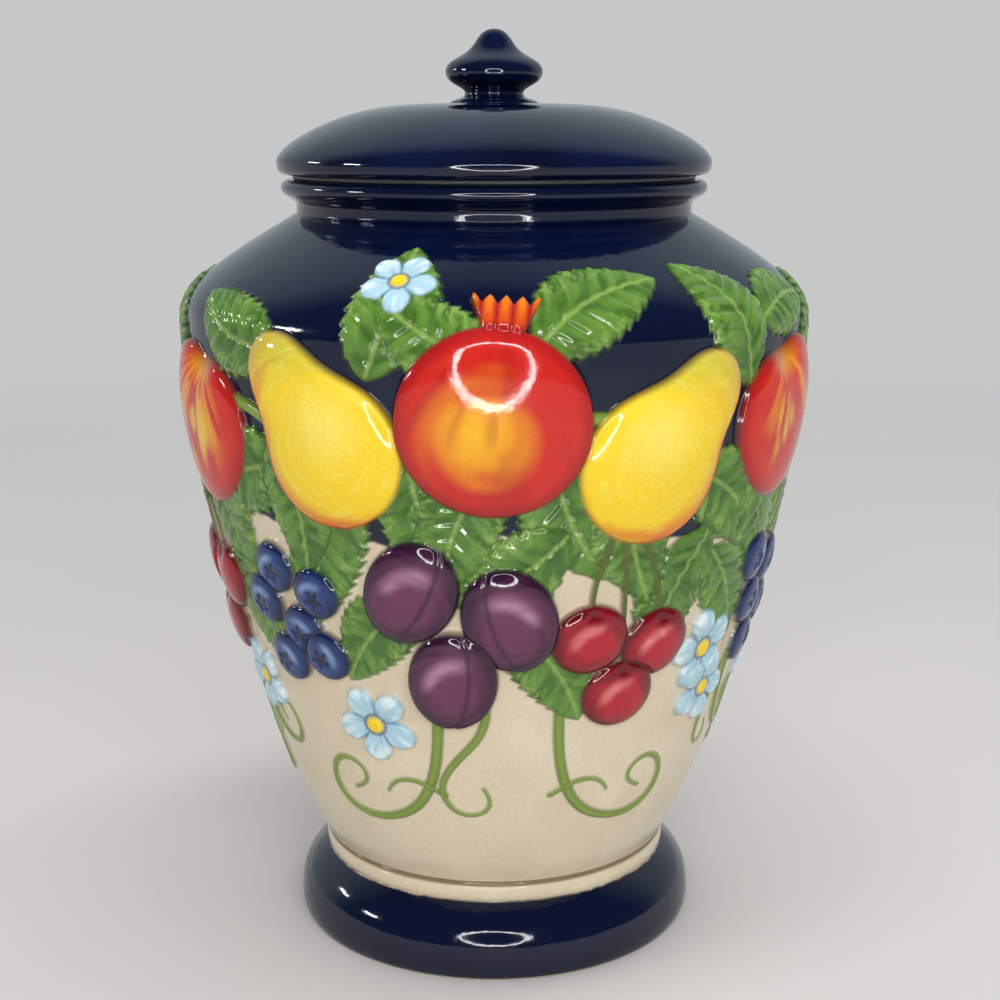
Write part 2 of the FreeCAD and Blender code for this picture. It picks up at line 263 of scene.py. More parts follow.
def jar_outline():
    """Under the foot, up the outside, over the rim and down the inside."""
    rim_root = (NECK_RADIUS, RIM_ROOT_HEIGHT)
    rim_swell = (RIM_RADIUS, RIM_SWELL_HEIGHT)
    rim_top = (RIM_RADIUS - RIM_ROUND, RIM_HEIGHT)
    mouth_top = (MOUTH_RADIUS + MOUTH_ROUND, RIM_HEIGHT)
    mouth_side = (MOUTH_RADIUS, RIM_HEIGHT - MOUTH_ROUND)
    throat = (MOUTH_RADIUS, NECK_HEIGHT - WALL / 2)
    inner_shoulder = (SHOULDER_RADIUS - WALL, SHOULDER_HEIGHT)
    roll = (RIM_ROOT_HEIGHT + RIM_SWELL_HEIGHT) / 2
    recess_top = RECESS_RADIUS - RECESS_TAPER
    recess_end = (recess_top - RECESS_ROUND, RECESS_DEPTH)
    recess_side = (recess_top, RECESS_DEPTH - RECESS_ROUND)
    recess_edge = (RECESS_RADIUS, 0)
    foot_edge = (FOOT_CONTACT_RADIUS, 0)
    foot_top = (WAIST_RADIUS, FOOT_HEIGHT)
    floor_edge = (FLOOR_FLAT_RADIUS, FLOOR_HEIGHT)
    return outline([
        ([(0, RECESS_DEPTH), recess_end], PLAIN_STEP * 2),
        ([recess_end,
          (recess_top - RECESS_ROUND / 2, RECESS_DEPTH),
          (recess_top, RECESS_DEPTH - RECESS_ROUND / 2),
          recess_side], FINE_STEP),
        ([recess_side, recess_edge], PLAIN_STEP),
        ([recess_edge, foot_edge], FINE_STEP),
        ([foot_edge,
          (FOOT_RADIUS, FOOT_SWELL_LOW),
          (FOOT_RADIUS, FOOT_SWELL_HIGH),
          (FOOT_BROW_RADIUS, FOOT_HEIGHT - FOOT_BROW_DROP),
          foot_top], FINE_STEP),
        ([foot_top,
          (WAIST_RADIUS + BAND_BULGE, FOOT_HEIGHT + BAND_HEIGHT * 0.2),
          (WAIST_RADIUS + BAND_BULGE, FOOT_HEIGHT + BAND_HEIGHT * 0.8),
          HEEL], WALL_STEP / 2),
        (FLANK_POLES, WALL_STEP),
        (SHOULDER_POLES, WALL_STEP),
        ([NECK, rim_root], FINE_STEP),
        ([rim_root, (NECK_RADIUS, roll), (RIM_RADIUS, roll), rim_swell], FINE_STEP),
        ([rim_swell,
          (RIM_RADIUS, (RIM_SWELL_HEIGHT + RIM_HEIGHT) / 2),
          (RIM_RADIUS - RIM_ROUND / 2, RIM_HEIGHT),
          rim_top], FINE_STEP / 2),
        ([rim_top, mouth_top], FINE_STEP * 2),
        ([mouth_top,
          (MOUTH_RADIUS + MOUTH_ROUND / 2, RIM_HEIGHT),
          (MOUTH_RADIUS, RIM_HEIGHT - MOUTH_ROUND / 2),
          mouth_side], FINE_STEP / 2),
        ([mouth_side, throat], PLAIN_STEP),
        ([throat,
          (SLOPE_RADIUS - WALL / 2, SLOPE_HEIGHT - SHOULDER_WALL),
          (SHOULDER_RADIUS - WALL, BROW_HEIGHT - SHOULDER_WALL / 2),
          inner_shoulder], PLAIN_STEP),
        ([inner_shoulder,
          (SHOULDER_RADIUS - WALL, FLANK_HEIGHT),
          (BELLY_RADIUS - WALL, BELLY_HEIGHT),
          (HEEL_RADIUS - WALL, HEEL_HEIGHT),
          (WAIST_RADIUS - WALL, FLOOR_HEIGHT),
          floor_edge], PLAIN_STEP),
        ([floor_edge, (0, FLOOR_HEIGHT)], PLAIN_STEP * 2),
    ])


def lid_outline():
    """From the crown over the dome and the edge, round the flange and up into the hollow."""
    crown_edge = (KNOB_FOOT_RADIUS + KNOB_FOOT_EDGE, CROWN)
    edge_side = (LID_RADIUS, LEDGE + LID_EDGE_HEIGHT)
    edge_low = (LID_RADIUS - LID_EDGE_ROUND, LEDGE)
    flange_end = LEDGE - FLANGE_HEIGHT
    groove = FLANGE_RADIUS - SEAL_GROOVE_DEPTH
    groove_end = LEDGE - SEAL_LEG_HEIGHT
    inner = FLANGE_RADIUS - FLANGE_WALL
    spring = (inner, LEDGE + LID_INNER_SPRING)
    roof = CROWN - LID_WALL
    return outline([
        ([(0, CROWN), crown_edge], PLAIN_STEP),
        ([crown_edge,
          (LID_CROWN_RADIUS, CROWN),
          (LID_CURVE_RADIUS, LEDGE + LID_CURVE_HEIGHT),
          (LID_RADIUS, LEDGE + LID_HAUNCH_HEIGHT),
          edge_side], FINE_STEP),
        ([edge_side,
          (LID_RADIUS, LEDGE + LID_EDGE_PULL_UP),
          (LID_RADIUS - LID_EDGE_PULL_IN, LEDGE),
          edge_low], FINE_STEP / 2),
        ([edge_low, (groove, LEDGE)], PLAIN_STEP),
        ([(groove, LEDGE), (groove, groove_end)], FINE_STEP),
        ([(groove, groove_end), (FLANGE_RADIUS, groove_end)], FINE_STEP),
        ([(FLANGE_RADIUS, groove_end), (FLANGE_RADIUS, flange_end)], FINE_STEP),
        ([(FLANGE_RADIUS, flange_end), (inner, flange_end)], FINE_STEP),
        ([(inner, flange_end), spring], PLAIN_STEP),
        ([spring,
          (inner, LEDGE + LID_HAUNCH_HEIGHT + LID_WALL / 2),
          (LID_CROWN_RADIUS, roof),
          (0, roof)], PLAIN_STEP),
    ])


def knob_outline():
    """The turned finial, from its foot on the crown to its point."""
    foot = (KNOB_FOOT_RADIUS, CROWN)
    neck = (KNOB_NECK_RADIUS, CROWN + KNOB_NECK_HEIGHT)
    swell_edge = (KNOB_RADIUS, CROWN + KNOB_SWELL_HEIGHT)
    return outline([
        ([(0, CROWN), foot], PLAIN_STEP),
        ([foot,
          (KNOB_FOOT_RADIUS - KNOB_FOOT_EDGE, CROWN + KNOB_FOOT_HEIGHT),
          (KNOB_NECK_RADIUS, CROWN + KNOB_FOOT_EDGE),
          neck], FINE_STEP / 2),
        ([neck,
          (KNOB_NECK_RADIUS, CROWN + KNOB_FLARE_LOW),
          (KNOB_RADIUS, CROWN + KNOB_FLARE_HIGH),
          swell_edge], FINE_STEP / 2),
        ([swell_edge,
          (KNOB_RADIUS, CROWN + KNOB_CAP_HEIGHT),
          (KNOB_CAP_RADIUS, CROWN + KNOB_HOLLOW_HEIGHT),
          (KNOB_TIP_RADIUS, CROWN + KNOB_TIP_HEIGHT),
          (KNOB_END_RADIUS, CROWN + KNOB_HEIGHT),
          (0, CROWN + KNOB_HEIGHT)], FINE_STEP / 2),
    ])


def seal_outline():
    """Once round the section of the sealing ring, with its corners eased."""
    inner = FLANGE_RADIUS - SEAL_GROOVE_DEPTH
    leg = inner + SEAL_LEG_THICKNESS
    low = LEDGE - SEAL_THICKNESS
    end = LEDGE - SEAL_LEG_HEIGHT
    ease = SEAL_EASE
    corners = [(inner, LEDGE), (inner, end), (leg - ease, end), (leg, end + ease), (leg, low),
               (SEAL_RADIUS - ease, low), (SEAL_RADIUS, low + ease), (SEAL_RADIUS, LEDGE - ease),
               (SEAL_RADIUS - ease, LEDGE)]
    steps = [FINE_STEP, FINE_STEP, ease, FINE_STEP, FINE_STEP * 2, ease, ease, ease, FINE_STEP * 2]
    runs = zip(corners, corners[1:] + corners[:1], steps)
    return outline([([start, finish], step) for start, finish, step in runs])[:-1]


def normals(points):
    """The outward direction at each point of an outline."""
    slope = np.gradient(points, axis=0)
    slope = slope / np.maximum(np.hypot(slope[:, 0], slope[:, 1]), 1e-9)[:, None]
    return np.column_stack([slope[:, 1], -slope[:, 0]])


def bearings(columns):
    """Evenly spaced directions round the axis, from the back over the front to the back."""
    return np.arange(columns) * 2 * math.pi / columns - math.pi


def make_mesh(name, places, corners, sizes, uv):
    """An object from its points, the corners and size of each face, and the corners' map places."""
    mesh = bpy.data.meshes.new(name)
    mesh.vertices.add(len(places))
    mesh.vertices.foreach_set("co", (places * MM).astype(np.float32).ravel())
    mesh.loops.add(len(corners))
    mesh.loops.foreach_set("vertex_index", corners.astype(np.int32))
    mesh.polygons.add(len(sizes))
    starts = np.concatenate([[0], np.cumsum(sizes)[:-1]])
    mesh.polygons.foreach_set("loop_start", starts.astype(np.int32))
    mesh.polygons.foreach_set("use_smooth", np.ones(len(sizes), bool))
    layer = mesh.uv_layers.new(name="OFBake")
    layer.data.foreach_set("uv", uv.astype(np.float32).ravel())
    mesh.update(calc_edges=True)
    mesh.validate()
    piece = bpy.data.objects.new(name, mesh)
    bpy.context.scene.collection.objects.link(piece)
    return piece


def corner_pairs(*pairs):
    """Map places of every face's corners in turn, from one (across, up) pair of arrays for each corner."""
    corners = [np.stack(np.broadcast_arrays(across, up), axis=-1) for across, up in pairs]
    return np.stack(corners, axis=-2).reshape(-1, 2)


def lathe(name, points, columns, offset=None, loop=False):
    """A mesh turned from an outline, closed at the axis or, for a loop, on itself.

    Offset moves each point out along the outline's normal.
    """
    ring = points if loop else points[1:-1]
    rows = len(ring)
    bearing = bearings(columns)
    radius = np.repeat(ring[:, :1], columns, axis=1)
    height = np.repeat(ring[:, 1:], columns, axis=1)
    if offset is not None:
        out = normals(points)[1:-1]
        radius = radius + offset * out[:, :1]
        height = height + offset * out[:, 1:]
    places = np.stack([radius * np.sin(bearing), -radius * np.cos(bearing), height], axis=-1).reshape(-1, 3)

    share = travelled(np.vstack([points, points[:1]]) if loop else points)
    share = share / share[-1]
    low = share[:-1] if loop else share[1:-2]
    high = share[1:] if loop else share[2:-1]
    row, column = np.meshgrid(np.arange(len(low)), np.arange(columns), indexing="ij")
    above = (row + 1) % rows
    beside = (column + 1) % columns
    corners = np.stack([row * columns + column, row * columns + beside,
                        above * columns + beside, above * columns + column], axis=-1).ravel()
    left = column / columns
    right = (column + 1) / columns
    uv = corner_pairs((left, low[row]), (right, low[row]), (right, high[row]), (left, high[row]))
    sizes = np.full(row.size, 4)
    if loop:
        return make_mesh(name, places, corners, sizes, uv)

    first_pole = len(places)
    places = np.vstack([places, [[0, 0, points[0, 1]], [0, 0, points[-1, 1]]]])
    here = np.arange(columns)
    there = (here + 1) % columns
    top = (rows - 1) * columns
    start_fan = np.stack([np.full(columns, first_pole), there, here], axis=-1)
    end_fan = np.stack([top + here, top + there, np.full(columns, first_pole + 1)], axis=-1)
    left = here / columns
    right = (here + 1) / columns
    middle = (here + 0.5) / columns
    start_uv = corner_pairs((middle, 0.0), (right, share[1]), (left, share[1]))
    end_uv = corner_pairs((left, share[-2]), (right, share[-2]), (middle, 1.0))
    corners = np.concatenate([corners, start_fan.ravel(), end_fan.ravel()])
    sizes = np.concatenate([sizes, np.full(2 * columns, 3)])
    return make_mesh(name, places, corners, sizes, np.concatenate([uv, start_uv, end_uv]))


def noise(across, up, seed):
    """Smooth random lumps between 0 and 1, about one for each unit, repeating every NOISE_PERIOD."""
    size = NOISE_PERIOD
    lattice = np.random.default_rng(seed).random((size, size))
    i = np.floor(across).astype(int)
    j = np.floor(up).astype(int)
    a = across - i
    b = up - j
    a = a * a * (3 - 2 * a)
    b = b * b * (3 - 2 * b)
    near = lattice[i % size, j % size] * (1 - a) + lattice[(i + 1) % size, j % size] * a
    far = lattice[i % size, (j + 1) % size] * (1 - a) + lattice[(i + 1) % size, (j + 1) % size] * a
    return near * (1 - b) + far * b


def strokes(x, y, around, out, seed):
    """Brush strokes that circle the middle of a form, with no seam."""
    angle = np.arctan2(y, x)
    reach = np.hypot(x, y) * out
    return noise(around * np.cos(angle) + 30, reach + around * np.sin(angle) + 30, seed)


def ramp(low, high, value):
    """0 below low, 1 above high, and an easy curve between."""
    share = np.clip((value - low) / (high - low), 0, 1)
    return share * share * (3 - 2 * share)


def blend(first, second, share):
    """Colours mixed point by point."""
    share = np.clip(share, 0, 1)[..., None]
    return first * (1 - share) + second * share


def tint(colour, like):
    """One colour spread over an array of points."""
    return np.broadcast_to(colour, like.shape + (3,))


def soft_union(first, second, width):
    """The distance to two shapes run together with a fillet of that width."""
    share = np.clip(0.5 + 0.5 * (second - first) / width, 0, 1)
    return second * (1 - share) + first * share - width * share * (1 - share)


def swell(edge, reach):
    """A rounded rise from 0 at the edge to 1 at that distance inside it."""
    share = np.clip(-edge / reach, 0, 1)
    return np.sqrt(np.clip(1 - (1 - share) ** 2, 0, 1))


def pear(x, y, seed):
    """A yellow pear with a blushed side."""
    belly_radius = 18
    neck_radius = 8
    waist_fillet = 16
    rise = 3.4
    belly = np.hypot(x, y + 8) - belly_radius
    neck = np.hypot(x - 1.5, y - 16) - neck_radius
    edge = soft_union(belly, neck, waist_fillet)
    height = rise * swell(edge, 17)
    out = np.hypot(x, (y + 4) * 0.82)
    streak = strokes(x, (y + 6) * 0.85, 2.4, 0.55, seed)
    fine = strokes(x + 2, y + 3, 5.0, 1.1, seed + 1)
    colour = blend(tint(YELLOW, x), YELLOW_PALE, ramp(14, 0, np.hypot(x + 5, y + 2)) * 0.7)
    colour = blend(colour, ORANGE, ramp(0.62, 1.05, out / 22 + 0.30 * (streak - 0.5) + x * 0.010) * 0.8)
    colour = blend(colour, BLUSH, ramp(4, 18, x - 0.25 * y + 6 * (streak - 0.5)) * ramp(6, 0, -edge) * 0.8)
    colour = blend(colour, LEAF_LIGHT, ramp(8, 22, y - 0.6 * x + 4 * (fine - 0.5)) * 0.5)
    colour = blend(colour, YELLOW_PALE, ramp(0.60, 0.85, fine) * 0.25)
    colour = blend(colour, BROWN, ramp(-1.1, 0.1, edge) * 0.55)
    return edge, height, colour


def pomegranate(x, y, seed):
    """A round red fruit with an orange glow and a toothed crown."""
    tooth_width = 3.6
    tooth_height = 2.2
    crown_half_width = 4.4
    crown_flare = 0.42
    crown_height = 7.5
    globe = np.hypot(x * 0.96, y) - 22
    rise = y - 20
    fold = np.abs((x / tooth_width) % 1.0 - 0.5)
    crown_top = crown_height + tooth_height * fold * 2
    beside = np.abs(x) - crown_half_width - crown_flare * rise
    crown = np.maximum(beside, np.maximum(-rise, rise - crown_top))
    edge = np.minimum(globe, crown)
    height = np.maximum(3.4 * swell(globe, 21), 1.5 * swell(crown, 2.6) - 0.4 * ramp(0.2, 0.0, fold))
    streak = noise(np.arctan2(x, 30 - y) * 11 + 30, np.hypot(x, y) * 0.12, seed)
    ring = strokes(x, y, 1.5, 0.32, seed + 1)
    glow = np.hypot(x + 3, y + 2)
    colour = blend(tint(RED, x), ORANGE, ramp(17, 5, glow + 6 * (ring - 0.5)))
    colour = blend(colour, YELLOW, ramp(10, 0, glow + 5 * (streak - 0.5)) * 0.5)
    colour = blend(colour, RED_DEEP, ramp(0.6, 0.9, streak) * 0.25)
    colour = blend(colour, RED_DEEP, ramp(-4.5, 0, globe) * 0.7)
    on_crown = ramp(-0.6, 1.0, globe) * ramp(0.6, -0.6, crown)
    colour = blend(colour, BLUSH, on_crown * 0.8)
    colour = blend(colour, ORANGE, on_crown * ramp(1, 8, rise) * ramp(0.1, 0.45, fold) * 0.7)
    colour = blend(colour, RED_DEEP, on_crown * ramp(0.22, 0.0, fold) * 0.7)
    colour = blend(colour, BROWN, ramp(-0.9, 0.1, edge) * 0.65)
    return edge, height, colour


def apple(x, y, seed):
    """An orange-red apple, wider above, dimpled at the stem."""
    cheek_radius = 15.5
    base_radius = 13.5
    rise = 3.3
    dimple_depth = 1.4
    left = np.hypot(x + 7, (y - 1) * 0.96) - cheek_radius
    right = np.hypot(x - 7, (y - 1) * 0.96) - cheek_radius
    base = np.hypot(x, y + 8) - base_radius
    edge = soft_union(soft_union(left, right, 4), base, 12)
    dimple = ramp(9, 0, np.hypot(x, (y - 15) * 1.2))
    height = rise * swell(edge, 18) - dimple_depth * dimple
    out = np.hypot(x, y)
    streak = noise(np.arctan2(x, 18 - y) * 8 + 30, out * 0.16, seed)
    colour = blend(tint(RED, x), ORANGE, ramp(0.35, 0.75, streak) * ramp(19, 8, out))
    colour = blend(colour, YELLOW, ramp(10, 1, np.hypot(x + 5, y + 1)) * ramp(0.2, 0.7, streak) * 0.75)
    colour = blend(colour, YELLOW, dimple * 0.5)
    colour = blend(colour, RED_DEEP, ramp(-4, 0, edge) * 0.7)
    colour = blend(colour, BROWN, ramp(-0.9, 0.1, edge) * 0.6)
    return edge, height, colour


def round_fruit(x, y, seed, radius, long_share, body, deep, pale):
    """A small smooth fruit, darker at the edge, with a brushed highlight."""
    out = np.hypot(x, y / long_share)
    edge = out - radius
    height = 0.3 * radius * swell(edge, radius * 0.96)
    stroke = strokes(x, y, 2.2, 0.8, seed)
    colour = blend(tint(body, x), deep, ramp(0.35, 1.05, out / radius + 0.3 * (stroke - 0.5)))
    shine = np.abs(np.hypot((x - radius * 0.1), (y + radius * 0.15) / long_share) - radius * 0.58)
    side = ramp(0.1, 0.9, np.cos(np.arctan2(y, x) - math.radians(128)))
    colour = blend(colour, pale, ramp(radius * 0.24, 0, shine) * side * (0.45 + 0.5 * stroke))
    colour = blend(colour, deep * 0.55, ramp(-0.8, 0.1, edge) * 0.75)
    return edge, height, colour


def plum(x, y, seed):
    """An oval purple fruit with a seam down it."""
    radius = 11.5
    seam_bow = 4.2
    seam_half_length = 14.2
    seam_depth = 0.35
    edge, height, colour = round_fruit(x, y, seed, radius, 1.24, PLUM, PLUM_DEEP, PLUM_PALE)
    seam = np.abs(x - seam_bow * np.sqrt(np.clip(1 - (y / seam_half_length) ** 2, 0, 1)))
    seam_share = ramp(1.0, 0, seam)
    return edge, height - seam_depth * seam_share, blend(colour, PLUM_DEEP, seam_share * 0.65)


def cherry(x, y, seed):
    """A red cherry, dimpled where its stem joins."""
    radius = 9.0
    dimple_radius = 3.2
    dimple_depth = 0.7
    edge, height, colour = round_fruit(x, y, seed, radius, 0.96, CHERRY, CHERRY_DEEP, CHERRY_PALE)
    dimple = ramp(dimple_radius, 0, np.hypot(x, y - 6.4))
    return edge, height - dimple_depth * dimple, blend(colour, CHERRY_DEEP, dimple * 0.8)


def blue_berry(x, y, seed):
    """A blue berry with a small starry crown."""
    radius = 6.8
    star_radius = 2.1
    star_point = 0.7
    star_depth = 0.45
    edge, height, colour = round_fruit(x, y, seed, radius, 1.0, BLUE, BLUE_DEEP, BLUE_PALE)
    around = np.arctan2(y + 0.8, x - 0.6)
    star = np.hypot(x - 0.6, y + 0.8) - star_radius - star_point * np.cos(5 * around)
    inside = ramp(0.4, -0.5, star)
    return edge, height - star_depth * inside, blend(colour, BLUE_DEEP * 0.5, inside * 0.85)


def leaf(x, y, seed):
    """A broad pointed leaf with a toothed edge, a bent midrib and paired side veins."""
    length = 38.0
    half_width = 11.5
    bend = 3.2
    teeth = 11
    tooth_depth = 0.11
    side_veins = 8.5
    along = np.clip(y / length + 0.5, 0, 1)
    x = x - bend * np.sin(math.pi * along)
    widest = np.sin(math.pi * along ** 0.82) ** 0.78
    reach = np.abs(x)
    tooth = 1.0 - tooth_depth * ((along * teeth - 0.35 * reach / half_width) % 1.0)
    width = half_width * widest * tooth
    edge = np.maximum((reach - width) * 0.85, np.abs(y) - length / 2)
    side_vein = ((along - 0.525 * reach / length) * side_veins) % 1.0
    vein = np.abs(side_vein - 0.5) * 2
    vein_share = ramp(0.80, 1.0, vein) * ramp(0.3, 1.6, reach) * ramp(0, -2.0, edge)
    rib = ramp(0.9, 0.25, reach) * ramp(1.0, 0.93, along)
    puff = 1.0 - 0.55 * ramp(0.3, 1.0, vein)
    height = 0.55 + 0.9 * swell(edge, 7.0) * puff + 0.25 * ramp(0, 6, reach)
    height = height * swell(edge, 1.6) - 0.35 * rib
    brush = noise(x * 0.28 + 7, (y - 0.5 * reach) * 0.5 + 11, seed)
    fine = noise(x * 0.9 + 5, (y - 0.5 * reach) * 1.3 + 4, seed + 1)
    colour = blend(tint(LEAF_MID, x), LEAF_DARK, ramp(0.3, 0.75, brush) * 0.7)
    colour = blend(colour, LEAF_LIGHT, ramp(0.4, 0.85, fine) * ramp(0.2, 0.85, reach / half_width) * 0.6)
    colour = blend(colour, LEAF_DARK, ramp(6, 0, reach) * ramp(1.0, 0.2, along) * 0.35)
    colour = blend(colour, LEAF_DARK, vein_share * 0.4)
    colour = blend(colour, LEAF_LIGHT, rib * 0.6)
    colour = blend(colour, LEAF_DARK * 0.6, ramp(-0.7, 0.1, edge) * 0.65)
    return edge, height, colour


def blossom(x, y, seed):
    """A simple five-petalled flower."""
    petals = 5
    petal_reach = 12.0
    heart_radius = 2.9
    around = np.arctan2(y, x)
    out = np.hypot(x, y)
    petal = np.abs(np.cos(petals / 2 * around))
    reach = petal_reach * (0.42 + 0.58 * petal ** 0.55)
    edge = (out - reach) * 0.8
    gap = ramp(0.35, 0.0, petal) * ramp(1.5, 4, out)
    height = (0.5 + 0.9 * ramp(2, 9, out)) * swell(edge, 2.0) - 0.5 * gap
    streak = strokes(x, y, 7.0, 0.25, seed)
    colour = blend(tint(PETAL, x), PETAL_PALE, ramp(0.3, 0.8, streak) * ramp(3, 10, out))
    colour = blend(colour, PETAL_DEEP, ramp(0.55, 0.9, streak) * 0.5 * ramp(10, 3, out))
    colour = blend(colour, PETAL_DEEP, gap * 0.9)
    colour = blend(colour, PETAL_DEEP * 0.8, ramp(-0.6, 0.1, edge) * 0.55)
    heart = ramp(heart_radius, heart_radius - 0.8, out)
    height = height + 0.9 * heart * swell(out - heart_radius, heart_radius)
    colour = blend(colour, YELLOW, heart)
    colour = blend(colour, BROWN, ramp(0.8, 0.3, np.abs(out - heart_radius - 0.2)) * 0.6)
    return edge, height, colour


class Wall:
    """The outside of the jar laid out as rows and columns, with its relief and its paint."""

    def __init__(self, points, columns):
        self.radius = points[1:-1, 0]
        self.height = points[1:-1, 1]
        self.along = travelled(points)[1:-1]
        self.columns = columns
        self.bearing = bearings(columns)
        self.outside = slice(int(np.argmax(self.height > SCORE_HEIGHT + 1)),
                             int(np.argmax(self.height > RIM_ROOT_HEIGHT)))
        rows = len(self.radius)
        self.relief = np.zeros((rows, columns))
        self.paint = np.zeros((rows, columns, 3))
        self.bare = np.zeros((rows, columns))

    def window(self, bearing, up, reach):
        """Rows and columns near a place, with distances across and above it."""
        rows = np.arange(self.outside.start, self.outside.stop)
        poles = FLANK_POLES if up <= 1 else SHOULDER_POLES
        height = spline(poles, 101)[int(round((up if up <= 1 else up - 1) * 100)), 1]
        middle = np.interp(height, self.height[rows], self.along[rows])
        rows = rows[np.abs(self.along[rows] - middle) < reach]
        width = int(reach / self.radius[rows].min() / (2 * math.pi) * self.columns) + 1
        centre = int(round((bearing + math.pi) / (2 * math.pi) * self.columns))
        steps = np.arange(-width, width + 1)[:self.columns]
        turn = (centre + steps) * 2 * math.pi / self.columns - math.pi - bearing
        across = turn[None, :] * self.radius[rows][:, None]
        above = np.repeat((self.along[rows] - middle)[:, None], len(steps), axis=1)
        return rows, (centre + steps) % self.columns, across, above

    def lay(self, rows, columns, edge, height, colour, lift):
        """Lay one motif over what is already there."""
        share = ramp(EDGE_SOFTNESS, -EDGE_SOFTNESS, edge)
        place = np.ix_(rows, columns)
        self.relief[place] = self.relief[place] * (1 - share) + (height + lift) * share
        self.paint[place] = blend(self.paint[place], colour, share)

    def stamp(self, motif, bearing, up, lean=0.0, scale=1.0, lift=0.0, flip=False, seed=1):
        """Set a motif at a bearing in degrees and a share of the way up, in every repeat of the garland."""
        angle = math.radians(lean)
        for repeat in range(REPEATS):
            centre = math.radians(bearing + 360.0 / REPEATS * repeat)
            rows, columns, across, above = self.window(centre, up, MOTIF_REACH * scale)
            x = (across * math.cos(angle) - above * math.sin(angle)) / scale
            y = (across * math.sin(angle) + above * math.cos(angle)) / scale
            edge, rise, colour = motif(-x if flip else x, y, seed + 17 * repeat)
            self.lay(rows, columns, edge * scale, rise * scale, colour, lift)

    def ribbon(self, bearing, up, poles, thick, thin, colour=VINE, dark=VINE_DARK, rise=1.0, lift=0.0):
        """A stem or tendril that runs along a smooth path of millimetres across and above its place."""
        path = spline(poles, 90)
        reach = np.abs(path).max() + thick * 2
        share = np.linspace(0, 1, len(path))
        half = (thick * (1 - share) + thin * share) / 2
        for repeat in range(REPEATS):
            centre = math.radians(bearing + 360.0 / REPEATS * repeat)
            rows, columns, across, above = self.window(centre, up, reach)
            edge = np.full(across.shape, 1e3)
            girth = np.ones(across.shape)
            for start, end, width in zip(path[:-1], path[1:], half):
                step = end - start
                length = max(float(step @ step), 1e-9)
                on = np.clip(((across - start[0]) * step[0] + (above - start[1]) * step[1]) / length, 0, 1)
                gap = np.hypot(across - start[0] - on * step[0], above - start[1] - on * step[1]) - width
                girth = np.where(gap < edge, width, girth)
                edge = np.minimum(edge, gap)
            high = rise * swell(edge, 1.0) * np.minimum(girth, 1.4) * 0.7
            tone = blend(tint(colour, edge), dark, ramp(-0.9, 0.1, edge / np.maximum(girth, 0.4)) * 0.7)
            self.lay(rows, columns, edge, high, tone, lift)


def paint_ground(wall):
    """Navy foot, cream band and belly, navy shoulder, neck and rim, and pale glaze inside."""
    rows = len(wall.radius)
    bearing = np.repeat(wall.bearing[None, :], rows, axis=0)
    height = np.repeat(wall.height[:, None], wall.columns, axis=1)
    turns = (bearing / (2 * math.pi) + 0.5) * NOISE_PERIOD
    mottle = noise(turns * 0.5, height / 11, 3)
    grain = noise(turns * 2, height / 2.4, 4)
    cream = blend(tint(CREAM, height), CREAM_WARM, 0.25 + 0.5 * (mottle - 0.5) + 0.10 * (grain - 0.5))
    navy = blend(tint(NAVY, height), NAVY_DEEP, 0.4 + 0.3 * (mottle - 0.5))
    edge_line = COLOUR_LINE + 1.6 * np.sin(REPEATS * 3 * bearing + 0.7)
    edge_line = edge_line + 0.9 * np.sin(REPEATS * 7 * bearing + 2)
    edge_line = edge_line + 0.5 * (noise(turns * 3, height * 0, 6) - 0.5)
    top = int(np.argmax(wall.height >= RIM_HEIGHT - 1e-6))
    contact = int(np.argmax(wall.height <= 1e-6))
    outside = (np.arange(rows) >= contact) & (np.arange(rows) <= top + NAVY_ROWS_OVER_RIM)
    outside = np.repeat(outside[:, None], wall.columns, axis=1)
    colour = blend(cream, navy, ramp(-0.5, 0.5, height - edge_line))
    foot_line = FOOT_HEIGHT + 0.3 * (noise(turns * 1.5, height * 0, 7) - 0.5)
    colour = blend(colour, navy, ramp(0.25, -0.25, height - foot_line))
    colour = blend(colour, STAIN, np.exp(-((height - SCORE_HEIGHT) / 0.55) ** 2) * 0.85)
    inside = blend(tint(GLAZE_INSIDE, height), CREAM_WARM, 0.3 * mottle)
    colour = np.where(outside[..., None], colour, inside)
    under = np.repeat((np.arange(rows) < contact)[:, None], wall.columns, axis=1)
    ring = np.repeat(((wall.height < 0.35) & (np.arange(rows) < top))[:, None], wall.columns, axis=1)
    clay = blend(tint(CLAY, height), CREAM_WARM, grain)
    colour = np.where((under | ring)[..., None], clay, colour)
    wall.bare = np.where(under | ring, 1.0, 0.0)
    wall.paint = np.array(colour)
    groove = np.exp(-((height - SCORE_HEIGHT) / (SCORE_WIDTH / 2.4)) ** 2)
    wall.relief = wall.relief - SCORE_DEPTH * groove * outside


